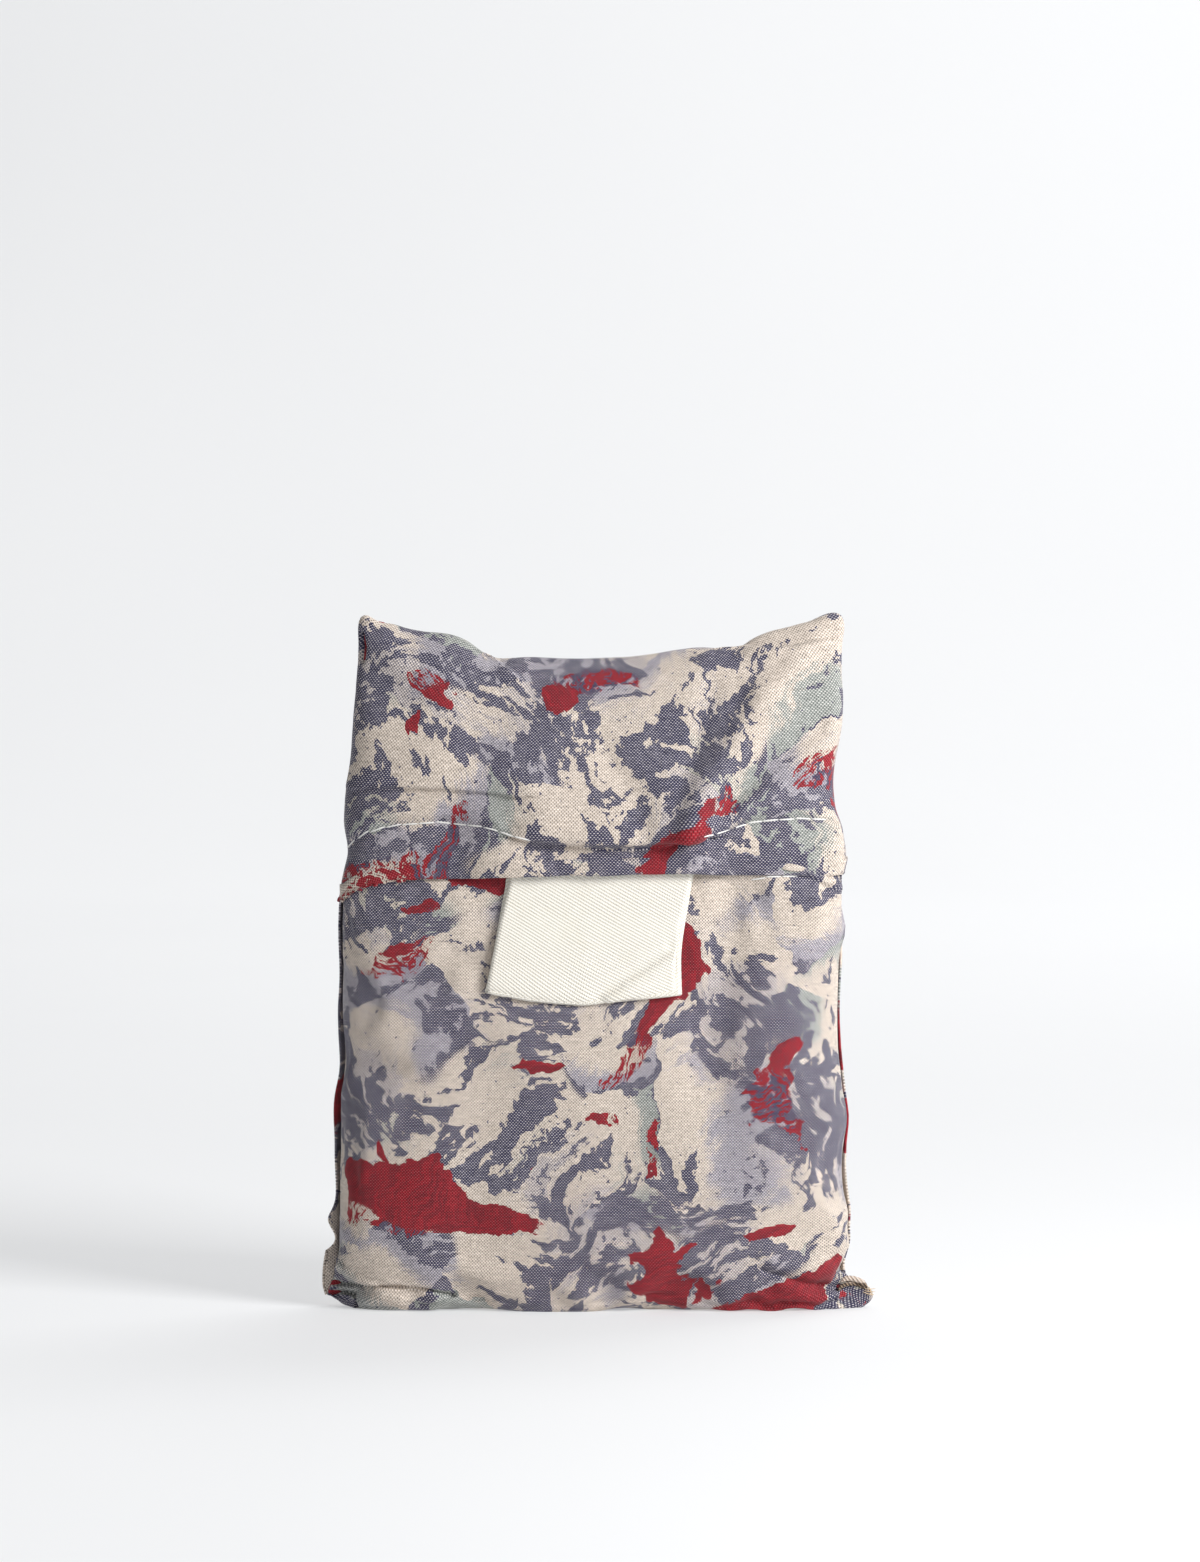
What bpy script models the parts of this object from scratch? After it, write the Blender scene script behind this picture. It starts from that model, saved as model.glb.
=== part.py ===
"""Reusable shopping bag, folded up inside its own pouch and standing upright.

The filled pocket is one soft solid. A second cloth runs up its back, over the top and down the front
to a hem. A folded tape label hangs out from under that hem. +Z is up, the front looks towards -Y, and
the origin is on the floor under the middle of the whole object.
"""

import math
from collections import namedtuple

import bmesh
import bpy

MM = 0.001

# Driving sizes, in millimetres.
HALF_WIDTH = 64.0  # nominal, from the middle to a side seam
CLOTH = 1.0  # thickness of a cloth solid
GAP = 0.3  # air between two pieces that touch
HEM_HEIGHT = 112.0  # nominal height of the flap's lower edge
MIDDLE_X = 1.12  # middle of the whole object's box, left and right
MIDDLE_Y = -0.88  # middle of the whole object's box, front and back

# The soft solid's cross-section.
COLUMNS = 24  # faces across the front
DEPTH_STEPS = 4  # faces across the depth, at each side, the top and the base
FRONT_ANGLE = 78.0  # degrees of the section that the front spans each way
SECTION_POWER = 3.2  # squareness of the section: 2 is an ellipse
RIDGE = 1.0  # half the thickness that is left under the top fold
TOP_TAPER = 40.0  # how far below the top fold the filling starts to thin out

# The pocket and its filling: outline and half depths at each height.
Side = namedtuple("Side", "height left right front back")
SIDES = (
    Side(0.0, -62.0, 63.6, 8.2, 9.6),
    Side(3.0, -64.4, 64.2, 9.8, 11.6),
    Side(8.0, -64.8, 64.2, 10.9, 12.8),
    Side(18.0, -64.7, 64.8, 11.3, 13.4),
    Side(40.0, -64.4, 64.3, 11.6, 13.8),
    Side(55.0, -64.0, 64.1, 11.8, 14.0),
    Side(64.0, -62.9, 63.4, 11.7, 14.0),
    Side(72.0, -63.2, 63.0, 11.8, 14.0),
    Side(90.0, -63.4, 63.3, 11.5, 13.7),
    Side(103.0, -63.4, 63.5, 11.2, 13.2),
    Side(117.0, -61.9, 62.7, 10.7, 12.6),
    Side(127.0, -62.1, 61.0, 10.4, 12.2),
    Side(140.0, -60.3, 60.2, 9.8, 11.2),
    Side(152.0, -59.5, 62.3, 9.2, 10.2),
    Side(166.0, -58.4, 61.8, 8.6, 9.2),
    Side(178.0, -57.6, 62.3, 8.0, 8.4),
)

# Lines that run across the front, as heights at places from left to right.
Point = namedtuple("Point", "across height")
TOP_FOLD = (
    Point(-59.0, 177.4),
    Point(-53.0, 174.2),
    Point(-45.0, 172.6),
    Point(-37.0, 172.3),
    Point(-31.0, 168.4),
    Point(-25.0, 165.2),
    Point(-19.0, 166.0),
    Point(-10.0, 166.3),
    Point(4.0, 166.6),
    Point(16.0, 167.6),
    Point(28.0, 169.3),
    Point(36.0, 169.3),
    Point(47.0, 173.0),
    Point(54.0, 175.0),
    Point(60.0, 178.1),
)
HEM_EDGE = (
    Point(-65.0, 103.5),
    Point(-60.0, 107.8),
    Point(-50.0, 110.4),
    Point(-37.0, 111.1),
    Point(0.0, 112.0),
    Point(25.0, 112.4),
    Point(64.0, 111.6),
)
STITCH_LINE = (
    Point(-64.0, 116.4),
    Point(-58.0, 121.6),
    Point(-48.0, 124.5),
    Point(-36.0, 125.1),
    Point(-24.0, 123.2),
    Point(-10.0, 120.2),
    Point(3.0, 118.6),
    Point(15.0, 118.9),
    Point(30.0, 121.8),
    Point(42.0, 125.3),
    Point(54.0, 126.0),
    Point(64.0, 124.6),
)
# How far the front of the base is off the floor.
BASE_ARCH = (
    Point(-41.0, 0.0),
    Point(-36.0, 1.2),
    Point(-30.0, 3.0),
    Point(-24.0, 2.0),
    Point(-18.0, 0.0),
    Point(-1.0, 0.0),
    Point(8.0, 1.6),
    Point(20.0, 2.0),
    Point(33.0, 0.0),
)

ARCH_REACH = 12.0  # how far up the front the arch is felt

# Rows of faces, from the base up: below the hem as heights, above it as shares of the way up.
LOW_ROWS = (0.0, 1.5, 3.2, 5.2, 7.6, 10.8, 14.2, 16.8, 20.4, 23.4, 27.5)
POCKET_ROWS = LOW_ROWS + (35.0, 44.0, 54.0, 62.5, 71.0, 81.0, 91.0, 101.0)
HEM_ROWS = (0.0, 0.14, 0.55, 0.92)  # from the hem's edge to the stitch line
FLAP_ROWS = (0.0, 0.05, 0.14, 0.27, 0.41, 0.55, 0.69, 0.81, 0.91, 1.0)  # stitch line to top fold

# Soft hollows in the pocket's front and in its back, each along a line.
Hollow = namedtuple("Hollow", "x0 z0 x1 z1 width depth")
POCKET_HOLLOWS = (
    Hollow(38.0, 106.0, 28.0, 62.0, 6.5, 1.6),  # beside the label
    Hollow(-62.0, 62.0, -48.0, 60.0, 6.0, 0.7),  # drawn in at the left seam
    Hollow(-52.0, 30.0, -20.0, 14.0, 8.0, 0.8),  # above the left foot
    Hollow(50.0, 22.0, 64.0, 12.0, 6.0, 0.9),  # into the right corner
)

BACK_HOLLOWS = (
    Hollow(-40.0, 150.0, -18.0, 112.0, 8.0, 1.0),
    Hollow(44.0, 152.0, 20.0, 104.0, 8.5, 1.3),
    Hollow(-60.0, 66.0, -34.0, 60.0, 7.5, 0.9),
    Hollow(60.0, 48.0, 30.0, 30.0, 9.0, 1.1),
    Hollow(-46.0, 24.0, -8.0, 16.0, 8.0, 0.9),
)

# Soft ridges of the flap, each along a line.
Ridge = namedtuple("Ridge", "x0 z0 x1 z1 width height")
FLAP_RIDGES = (
    Ridge(24.0, 124.0, 52.0, 162.0, 6.0, 1.5),  # drape up to the right corner
    Ridge(34.0, 128.0, 60.0, 146.0, 4.5, 0.9),
    Ridge(-50.0, 168.0, -26.0, 160.0, 5.0, 1.2),  # left corner, pulled forward
    Ridge(-56.0, 138.0, -20.0, 136.0, 4.0, 0.7),  # above the crease on the left
)

# Corners that the cloth is drawn out to: the filling doesn't reach them.
Corner = namedtuple("Corner", "x z reach")
FLAT_CORNERS = (
    Corner(-60.0, 179.0, 19.0),
    Corner(63.0, 180.0, 19.0),
    Corner(-66.0, 4.0, 7.0),
    Corner(68.0, 4.0, 7.0),
)
# Seam ends that stick out past the side, each at a height.
SeamEnd = namedtuple("SeamEnd", "side height reach pull")
SEAM_ENDS = (
    SeamEnd(1, 3.8, 3.6, 7.4),
    SeamEnd(-1, 7.5, 5.0, 1.6),
)

# The cloth over the front: its drooping fold and where the label lifts it.
DROOP_LEFT, DROOP_RIGHT = -26.0, 36.0
DROOP_RUN = 12.0  # how gradually the fold starts at each end
DROOP_OUT = 4.3
DROOP_BELLY = 2.0  # how far above the stitch line it stands out in full
DROOP_FADE = 30.0  # how far above the stitch line it has gone
LABEL_LIFT_LEFT, LABEL_LIFT_RIGHT = -25.0, 29.0
LABEL_LIFT_RUN = 6.0
LABEL_LIFT_FADE = 16.0  # how far above the stitch line it has gone

# The back cloth's left edge, a wavy seam allowance outside the pocket.
BACK_LEFT_EDGE = (
    Point(3.0, -68.2),
    Point(5.2, -69.0),
    Point(10.8, -68.9),
    Point(14.2, -68.3),
    Point(16.8, -65.6),
    Point(20.4, -67.0),
    Point(23.4, -67.4),
    Point(27.5, -65.4),
    Point(35.0, -65.5),
    Point(44.0, -65.6),
    Point(54.0, -66.0),
    Point(62.5, -64.2),
    Point(71.0, -64.9),
    Point(81.0, -64.4),
    Point(91.0, -64.3),
    Point(101.0, -64.8),
)
BACK_EDGE_DEPTH = 2.6  # behind the side seam
BACK_LOWEST_ROW = 2  # the back cloth ends here, clear of the floor

# The label: a tape folded at its lower edge, a little askew.
LABEL_COLUMNS = 10
LABEL_ROWS = 7  # in each ply
LABEL_TUCK = 4.0  # length under the flap
LABEL_PLY_GAP = 0.4
LABEL_BACK_SHIFT = -1.4  # the back ply shows past the left edge of the front one
LABEL_FOLD_OPEN = 0.45  # each ply leaves the other by this towards the fold
LABEL_OPENING = (0.2, 0.9)  # where it starts to and where it has, as shares of the way down
LABEL_LEFT = (Point(81.6, -26.6), Point(112.0, -20.7), Point(117.0, -19.8))
LABEL_RIGHT = (Point(80.6, 21.3), Point(92.0, 21.6), Point(112.0, 25.2), Point(117.0, 26.0))
LABEL_FOOT = (
    Point(-27.0, 82.0),
    Point(-18.0, 79.9),
    Point(-4.0, 78.6),
    Point(3.0, 79.1),
    Point(22.0, 80.9),
)
CURL_X, CURL_Z = 2.3, 79.5  # a point on the crease of the curled corner
CURL_ANGLE = 34.0  # degrees of that crease above level
CURL_SLOPE = 0.08  # how steeply the corner falls back past it

Finish = namedtuple("Finish", "colour roughness")
PRINTED_CLOTH = Finish((0.60, 0.50, 0.41), 0.82)
FLAP_CLOTH = Finish((0.45, 0.40, 0.42), 0.82)
LABEL_TAPE = Finish((0.88, 0.84, 0.73), 0.78)


def along(points, at):
    """The smooth value of a table of (place, value) rows at a place; level past its ends."""
    if at <= points[0][0]:
        return points[0][1]
    if at >= points[-1][0]:
        return points[-1][1]
    last = len(points) - 1
    i = next(n for n in range(last) if at <= points[n + 1][0])
    (x0, y0), (x1, y1) = points[i], points[i + 1]
    before, after = points[max(i - 1, 0)], points[min(i + 2, last)]
    slope0 = (y1 - before[1]) / (x1 - before[0])
    slope1 = (after[1] - y0) / (after[0] - x0)
    span = x1 - x0
    t = (at - x0) / span
    rise = (1 + 2 * t) * (1 - t) ** 2 * y0 + t * t * (3 - 2 * t) * y1
    return rise + span * (t * (1 - t) ** 2 * slope0 - t * t * (1 - t) * slope1)


def side_value(column, height):
    """One column of SIDES at a height."""
    return along([(row.height, getattr(row, column)) for row in SIDES], height)


def ramp(value, start, end):
    """Rises smoothly from 0 at start to 1 at end."""
    t = min(max((value - start) / (end - start), 0.0), 1.0)
    return t * t * (3 - 2 * t)


def near_line(line, x, z):
    """1 on a crease's line, falling away with its width across it and past its ends."""
    dx, dz = line.x1 - line.x0, line.z1 - line.z0
    t = ((x - line.x0) * dx + (z - line.z0) * dz) / (dx * dx + dz * dz)
    t = min(max(t, 0.0), 1.0)
    away = math.hypot(x - line.x0 - t * dx, z - line.z0 - t * dz)
    return math.exp(-((away / line.width) ** 2))


def row_table():
    """Each row of faces, as the band that it lies in and its place there."""
    rows = [("pocket", height) for height in POCKET_ROWS]
    rows += [("hem", share) for share in HEM_ROWS]
    return rows + [("flap", share) for share in FLAP_ROWS]


ROWS = row_table()
HEM_ROW = len(POCKET_ROWS)
STITCH_ROW = HEM_ROW + len(HEM_ROWS)
TOP_ROW = len(ROWS) - 1


def top_height(x):
    """The top of the filling, under the cloth's fold."""
    return along(TOP_FOLD, x) - CLOTH - GAP


def row_height(row, x):
    """The height of a row of faces at a place across the front."""
    band, place = ROWS[row]
    hem, stitch = along(HEM_EDGE, x), along(STITCH_LINE, x)
    if band == "pocket":
        return place + (hem - HEM_HEIGHT) * (place / HEM_HEIGHT) ** 2
    if band == "hem":
        return hem + place * (stitch - hem)
    return stitch + place * (top_height(x) - stitch)


def filling_depth(side, x, z):
    """How far the filling reaches forward (front) or back (back) in the middle of its section."""
    full = side_value(side, z)
    below = max(top_height(x) - z, 0.0)
    if below < TOP_TAPER:
        full = RIDGE + (full - RIDGE) * math.sqrt(1 - (1 - below / TOP_TAPER) ** 2)
    for corner in FLAT_CORNERS:
        away = math.hypot(x - corner.x, z - corner.z)
        full = RIDGE + (full - RIDGE) * (1 - math.exp(-((away / corner.reach) ** 2)))
    return full


def arch_height(x):
    """How far the front of the base is off the floor at a place across it."""
    return max(along(BASE_ARCH, x), 0.0)


def section(share):
    """The part of the depth that is left at a share of the way out to the side seam."""
    return (1 - min(abs(share), 1.0) ** SECTION_POWER) ** (1 / SECTION_POWER)


def face_depth(side, x, z):
    """How far the pocket's front or back is from the plane of the side seams."""
    edge = abs(side_value("left" if x < 0 else "right", z))
    left = section(x / edge)
    depth = filling_depth(side, x, z) * left
    for hollow in POCKET_HOLLOWS if side == "front" else BACK_HOLLOWS:
        depth -= hollow.depth * near_line(hollow, x, z) * left
    return depth


def pouch_point(a, b, row):
    """The place of a corner of the subdivided block, from its place in it (-1 to 1) and its row."""
    angle = a * FRONT_ANGLE
    if abs(a) == 1:
        angle += a * (90 - FRONT_ANGLE) * (1 - abs(b))
    out = math.sin(math.radians(angle))
    z = row_height(row, out * HALF_WIDTH)
    x = out * abs(side_value("left" if out < 0 else "right", z))
    y = 0.0
    if b != 0:
        y = math.copysign(face_depth("front" if b < 0 else "back", x, z), b)
    if row in (0, TOP_ROW) and abs(a) < 1:
        y *= abs(b)
    if abs(a) == 1:
        for end in SEAM_ENDS:
            if end.side == a:
                reach = end.pull * math.exp(-(((z - end.height) / end.reach) ** 2))
                x += a * reach * (1 - abs(b))
    if row == TOP_ROW:
        z -= RIDGE * b * b
    if row == 0:
        z = arch_height(x) if b == -1 and abs(a) < 1 else 0.0
    elif b == -1:
        z += arch_height(x) * (1 - ramp(z, 0.0, ARCH_REACH))
    return x, y, z


def block_with_rows():
    """A cube cut into columns, depth steps and rows."""
    mesh = bmesh.new()
    bmesh.ops.create_cube(mesh, size=2.0)
    for axis, count in ((0, COLUMNS), (1, DEPTH_STEPS), (2, TOP_ROW)):
        edges = [e for e in mesh.edges if abs(e.verts[0].co[axis] - e.verts[1].co[axis]) > 1]
        bmesh.ops.subdivide_edges(mesh, edges=edges, cuts=count - 1, use_grid_fill=True)
    return mesh


def pouch_mesh():
    """The filled pocket, and each vertex's place in the block: across, depth and row."""
    mesh = block_with_rows()
    places = {}
    for vertex in mesh.verts:
        a, b, c = vertex.co
        a = round(a * COLUMNS / 2) * 2 / COLUMNS
        b = round(b * DEPTH_STEPS / 2) * 2 / DEPTH_STEPS
        places[vertex.index] = (a, b, round((c + 1) / 2 * TOP_ROW))
    mesh.verts.ensure_lookup_table()
    for index, place in places.items():
        mesh.verts[index].co = pouch_point(*place)
    mesh.normal_update()
    return mesh, places


def in_cloth(place_a, place_b, rows):
    """Whether a face of the pouch lies under the cloth that is its back and flap."""
    if min(rows) >= HEM_ROW:
        return True
    if max(place_b) <= 0 or min(rows) < BACK_LOWEST_ROW:
        return False
    left_side = max(place_a) == -1
    right_side = min(place_a) == 1
    if left_side:
        return min(place_b) >= 0
    if right_side:
        return min(place_b) >= 0.5
    return min(place_b) == 1


def droop(x):
    """How fully the fold over the hem is formed at a place across the front."""
    start = ramp(x, DROOP_LEFT, DROOP_LEFT + DROOP_RUN)
    return start * (1 - ramp(x, DROOP_RIGHT - DROOP_RUN, DROOP_RIGHT))


def label_lift(x):
    """How fully the label lifts the hem at a place across the front."""
    start = ramp(x, LABEL_LIFT_LEFT - LABEL_LIFT_RUN, LABEL_LIFT_LEFT)
    return start * (1 - ramp(x, LABEL_LIFT_RIGHT, LABEL_LIFT_RIGHT + LABEL_LIFT_RUN))


def cloth_stand_off(x, z, row):
    """How far the front cloth stands off the filling, past its usual gap."""
    lifted = (2 * CLOTH + LABEL_PLY_GAP + GAP) * label_lift(x)
    if row <= STITCH_ROW:
        return lifted
    above = z - along(STITCH_LINE, x)
    drooped = DROOP_OUT * droop(x) * (1 - ramp(above, DROOP_BELLY, DROOP_FADE))
    stand = max(drooped, lifted * (1 - ramp(above, 0.0, LABEL_LIFT_FADE)))
    for ridge in FLAP_RIDGES:
        stand += ridge.height * near_line(ridge, x, z)
    return stand


def cloth_mesh():
    """The back and flap's middle surface: the pouch's own faces, moved out along their normals."""
    mesh, places = pouch_mesh()
    moved = {}
    for vertex in mesh.verts:
        a, b, row = places[vertex.index]
        x, _, z = vertex.co
        out = GAP + CLOTH / 2
        if b == -1 and row < TOP_ROW:
            out += cloth_stand_off(x, z, row)
        moved[vertex.index] = vertex.co + vertex.normal * out
        if a == -1 and b == 0 and row < HEM_ROW:
            moved[vertex.index].x = along(BACK_LEFT_EDGE, z)
            moved[vertex.index].y = BACK_EDGE_DEPTH
    outside = []
    for face in mesh.faces:
        at = [places[vertex.index] for vertex in face.verts]
        if not in_cloth([p[0] for p in at], [p[1] for p in at], [p[2] for p in at]):
            outside.append(face)
    for vertex in mesh.verts:
        vertex.co = moved[vertex.index]
    bmesh.ops.delete(mesh, geom=outside, context="FACES")
    return mesh


def label_point(across, down, front):
    """A point of the tape's middle surface, as shares across it and down it, in its front or back ply."""
    x = 0.0
    for _ in range(2):
        foot = along(LABEL_FOOT, x)
        head = along(HEM_EDGE, x) + LABEL_TUCK
        z = head + down * (foot - head)
        left, right = along(LABEL_LEFT, z), along(LABEL_RIGHT, z)
        x = left + across * (right - left)
    if not front:
        x += LABEL_BACK_SHIFT * (1 - across)
    open_by = LABEL_FOLD_OPEN * ramp(down, *LABEL_OPENING)
    lift = GAP + CLOTH / 2 + open_by
    if front:
        turn = math.radians(CURL_ANGLE)
        past = (x - CURL_X) * math.sin(turn) - (z - CURL_Z) * math.cos(turn)
        lift += CLOTH + LABEL_PLY_GAP + open_by - CURL_SLOPE * max(past, 0.0)
    return x, -face_depth("front", x, z) - lift, z


def label_mesh():
    """The tape's middle surface, folded at the foot, with a row in the fold itself."""
    mesh = bmesh.new()
    count = 2 * LABEL_ROWS + 2
    bmesh.ops.create_grid(mesh, x_segments=LABEL_COLUMNS, y_segments=count, size=1.0)
    for vertex in mesh.verts:
        across = (vertex.co.x + 1) / 2
        step = round((vertex.co.y + 1) / 2 * count)
        if step <= LABEL_ROWS:
            vertex.co = label_point(across, step / LABEL_ROWS, True)
        elif step >= LABEL_ROWS + 2:
            vertex.co = label_point(across, (count - step) / LABEL_ROWS, False)
        else:
            front, back = label_point(across, 1.0, True), label_point(across, 1.0, False)
            half = (back[1] - front[1]) / 2
            vertex.co = ((front[0] + back[0]) / 2, front[1] + half, front[2] - half)
    return mesh


def material_named(name, finish):
    """A Principled material with a finish's colour and roughness."""
    material = bpy.data.materials.new(name)
    material.use_nodes = True
    shader = material.node_tree.nodes["Principled BSDF"]
    shader.inputs["Base Color"].default_value = (*finish.colour, 1.0)
    shader.inputs["Roughness"].default_value = finish.roughness
    shader.inputs["Metallic"].default_value = 0.0
    return material


def add_piece(name, shape, finish, parts, parent):
    """Makes an object from a mesh in millimetres, with its own material."""
    bmesh.ops.scale(shape, vec=(MM, MM, MM), verts=shape.verts)
    bmesh.ops.recalc_face_normals(shape, faces=shape.faces)
    data = bpy.data.meshes.new(name)
    shape.to_mesh(data)
    shape.free()
    piece = bpy.data.objects.new(name, data)
    data.materials.append(material_named(name, finish))
    data.shade_smooth()
    parts.objects.link(piece)
    piece.parent = parent
    return piece


def thicken(piece):
    """Gives a cloth's middle surface its thickness, half to each side."""
    solidify = piece.modifiers.new("Cloth thickness", "SOLIDIFY")
    solidify.thickness = CLOTH * MM
    solidify.offset = 0.0
    solidify.use_even_offset = True


def main():
    for old in list(bpy.data.objects):
        bpy.data.objects.remove(old)
    parts = bpy.data.collections.new("Folded shopping bag")
    bpy.context.scene.collection.children.link(parts)
    middle = bpy.data.objects.new("bag_middle", None)
    middle.location = (-MIDDLE_X * MM, -MIDDLE_Y * MM, 0.0)
    parts.objects.link(middle)

    add_piece("filled_pocket", pouch_mesh()[0], PRINTED_CLOTH, parts, middle)
    thicken(add_piece("back_and_flap", cloth_mesh(), FLAP_CLOTH, parts, middle))
    thicken(add_piece("label", label_mesh(), LABEL_TAPE, parts, middle))


main()
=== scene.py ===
"""Reusable shopping bag, folded up inside its own pouch and standing upright.

The pouch is a filled pocket of printed crepe, a second cloth that is its back and its flap, and a
folded tape label that hangs out from under the flap's stitched hem. Lengths in the tables are in
millimetres. +Z is up and the front looks towards -Y.
"""

import math
from collections import namedtuple
from contextlib import contextmanager

import bmesh
import bpy
import numpy as np
from bpy.props import FloatProperty, FloatVectorProperty, PointerProperty
from mathutils import Matrix, Vector, noise
from mathutils.bvhtree import BVHTree


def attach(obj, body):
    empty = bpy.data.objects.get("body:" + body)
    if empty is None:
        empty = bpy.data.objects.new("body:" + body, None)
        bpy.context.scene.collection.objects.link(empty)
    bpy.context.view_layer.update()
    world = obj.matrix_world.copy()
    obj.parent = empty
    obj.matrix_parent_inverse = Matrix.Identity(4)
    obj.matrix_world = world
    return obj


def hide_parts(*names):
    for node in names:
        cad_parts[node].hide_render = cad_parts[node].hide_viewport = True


bl_info = {
    "name": "Folded shopping bag",
    "version": (1, 0, 0),
    "blender": (4, 5, 0),
    "location": "3D View > Sidebar > Bag",
    "description": "A reusable shopping bag, folded up in its own pouch",
    "category": "Add Mesh",
}

MM = 0.001
MIDDLE_X, MIDDLE_Y = 1.12, -0.88  # the tables' own origin, from the middle of the whole object

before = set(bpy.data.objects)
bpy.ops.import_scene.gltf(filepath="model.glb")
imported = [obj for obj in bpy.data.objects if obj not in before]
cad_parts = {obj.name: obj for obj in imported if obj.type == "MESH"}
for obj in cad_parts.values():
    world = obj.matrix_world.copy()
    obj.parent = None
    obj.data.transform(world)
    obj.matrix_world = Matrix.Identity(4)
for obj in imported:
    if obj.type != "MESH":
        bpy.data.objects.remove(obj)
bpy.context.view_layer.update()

# ------------------------ shapes, in millimetres

# Lines on the front are rows of pairs of x and z.
Spot = namedtuple("Spot", "x z")

STITCH_PATH = (
    (-64.4, 116.6), (-63, 117.4), (-61.3, 119.3), (-58, 121.9), (-53.9, 123.4), (-49.3, 124.4),
    (-44, 124.8), (-38.6, 125.2), (-33.7, 124.7), (-27.8, 124.2), (-23.8, 123.2), (-19.9, 121.9),
    (-16, 121),
)
STITCH_PATH_RIGHT = (
    (29.4, 122), (31.4, 122.3), (35.8, 123.7), (41.4, 125.2), (46.5, 125.7), (53.7, 126),
    (58.5, 125.7), (62.8, 124.7),
)
POCKET_STITCH_PATH = ((42.2, 110.7), (46, 111.3), (51.4, 111.4))
DROOP_PATH = (
    (-17, 122.4), (-13.8, 122.6), (-6.6, 121.8), (2.6, 121.3), (9.2, 121.2), (14.1, 121.4),
    (18.9, 122.2), (24, 122.8), (28, 122.4),
)

# Folds: a line, how wide it is above and below the line, how far it stands out or, if negative,
# is drawn in, and how far it sinks.
Fold = namedtuple("Fold", "path above below out down", defaults=[0.0])
FLAP_FOLDS = (
    Fold(STITCH_PATH, 0.8, 0.8, -0.55),
    Fold(STITCH_PATH_RIGHT, 0.8, 0.8, -0.55),
    Fold(DROOP_PATH, 7, 1.9, 1.15, 0.85),
    Fold(((-16, 119.6), (0, 118.6), (14, 118.9), (27, 120.6)), 1.5, 2.4, -0.6),
    Fold(((-60, 123), (-50, 127), (-38, 128), (-24, 126.2)), 4.5, 1.6, 0.9),
    Fold(((34, 125.6), (44, 128.4), (56, 128.8)), 4, 1.6, 0.7),
    Fold(((-59, 114), (-44, 117.5), (-28, 116.5), (-12, 113.6)), 2.8, 2.6, 0.55),
    Fold(((34, 114.5), (48, 118.5), (61, 118)), 2.6, 2.6, 0.55),
    Fold(
        ((-62.5, 134), (-50, 134.9), (-38.8, 134.6), (-28, 133.6), (-17, 132.5)),
        4.6, 0.45, 1.2, 0.7,
    ),
    Fold(((-56, 146), (-40, 143), (-22, 144), (-8, 149)), 6, 5, 0.8),
    Fold(((24, 122.6), (28, 132), (35, 144), (44, 157)), 3.2, 5, 1.8),
    Fold(((30, 123), (37, 132), (47, 142), (58, 149)), 3, 2.6, -1.5),
    Fold(((31, 123.6), (43, 132), (58, 137)), 2.4, 2.2, 1.2),
    Fold(((14, 123), (11, 132), (3, 143)), 3, 3.4, -0.9),
    Fold(((20, 124), (23, 134), (27, 146), (31, 160)), 2.2, 2.6, -1.1),
    Fold(((30, 168), (36, 169.4), (46, 168.7), (52, 169.2), (60, 171)), 0.5, 2.6, 0.9),
    Fold(((-25.3, 166.3), (-22.6, 164.3), (-18.6, 161.6)), 0.5, 2.8, 1.1),
    Fold(((-59, 172.6), (-58.2, 169.6), (-58.8, 166.2)), 0.9, 0.9, -2.2),
    Fold(((-54, 170), (-47, 163), (-38, 157)), 3, 4, 0.8),
    Fold(((57, 171), (50, 163), (42, 158)), 3, 3, 0.8),
    Fold(((-65.4, 103.2), (-60, 108.6), (-50, 111.4)), 1.4, 0.5, -0.5),
)
POCKET_FOLDS = (
    Fold(((50, 112.9), (53.7, 112.4), (58, 110.3), (62.9, 107.8)), 2.4, 0.35, 1.3),
    Fold(((-66, 6.2), (-59, 6), (-50, 6.3), (-42, 5.6), (-35, 4.2)), 0.55, 0.55, -1.5),
    Fold(((-59, 2.8), (-48, 3.2), (-40, 2.9)), 1.6, 2, 0.9),
    Fold(((-67, 3.6), (-64, 3.9), (-60.7, 3.8)), 0.45, 0.45, -1.6),
    Fold(((-60.6, 3.9), (-60.2, 0.4)), 0.4, 0.4, -1.3),
    Fold(((-66, 12.4), (-61, 8.8), (-55, 6.6)), 0.7, 2.4, 0.8),
    Fold(((44, 10.6), (50, 8.6), (56, 6.6), (63, 5)), 1.2, 0.5, -1.2),
    Fold(((46, 13.4), (53, 11), (61, 10.6)), 3.2, 2.6, 0.9),
    Fold(((48, 6), (55, 4), (62, 2.8)), 1.9, 2.6, 0.9),
    Fold(((-63, 62), (-56, 61), (-48, 62.5)), 2.6, 2, -0.6),
    Fold(((-63, 40), (-57, 37), (-50, 36.5)), 3, 2.2, -0.5),
    Fold(((63, 44), (56, 47), (48, 46)), 3, 2.6, -0.6),
    Fold(((63, 82), (55, 79), (48, 80)), 3.4, 2.6, -0.6),
    Fold(((38, 106), (34, 88), (31, 66), (34, 44)), 4.5, 6, -0.8),
    Fold(((-34, 74), (-28, 52), (-30, 26)), 7, 6, -0.6),
    Fold(((-44, 12), (-30, 9), (-14, 10)), 3.4, 2.4, 0.8),
    Fold(((2, 14), (18, 11), (34, 13)), 4, 3, 0.6),
)
LABEL_MIDDLE = Spot(-1, 95)
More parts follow.
